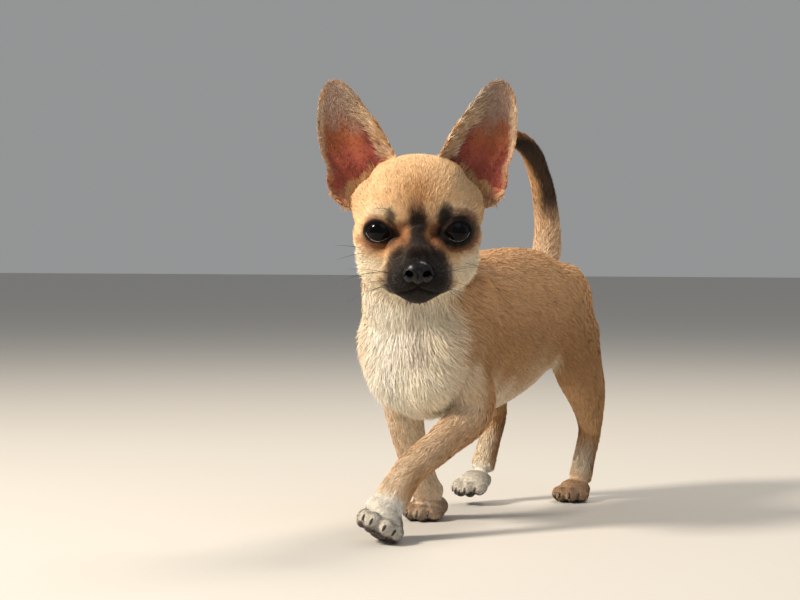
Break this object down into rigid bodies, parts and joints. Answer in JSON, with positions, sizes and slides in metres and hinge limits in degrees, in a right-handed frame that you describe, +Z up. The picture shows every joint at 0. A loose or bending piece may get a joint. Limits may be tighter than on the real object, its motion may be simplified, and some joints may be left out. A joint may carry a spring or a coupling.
{
  "type": "chihuahua puppy, life-size still model",
  "caption": "Short-coated chihuahua puppy in mid-stride, head turned to its left, ears erect and tail raised; a life-size still model that stands on the floor.",
  "frame": {"origin": "middle of the bounding box, on the floor that the feet rest on", "axes": "+Z up, -Y the way the body faces, +X the dog's left side"},
  "size_m": [0.0942, 0.2474, 0.2447],
  "materials": {
    "fawn_coat": "short, close fawn fur with a soft sheen",
    "cream_coat": "short cream fur, a little longer at the throat",
    "ear": "thin pink skin inside, short fawn fur outside",
    "nose_leather": "moist black pebbled skin",
    "eye": "very dark brown, wet and clear",
    "paw": "short pale fur with dark pads and claws",
    "lip_skin": "dark, slightly moist bare skin of lids, lips and pads",
    "claw_horn": "dark, smooth horn",
    "whisker": "thin stiff dark hairs"
  },
  "bodies": {
    "root": {"head": "fawn_coat", "nose": "nose_leather", "eye_left": "eye", "eye_right": "eye", "ear_left": "ear", "ear_right": "ear", "neck": "cream_coat", "torso": "fawn_coat", "tail": "fawn_coat", "foreleg_left": "fawn_coat", "foreleg_right": "fawn_coat", "hindleg_left": "fawn_coat", "hindleg_right": "fawn_coat", "forepaw_left": "paw", "forepaw_right": "paw", "hindpaw_left": "paw", "hindpaw_right": "paw"}
  },
  "joints": []
}
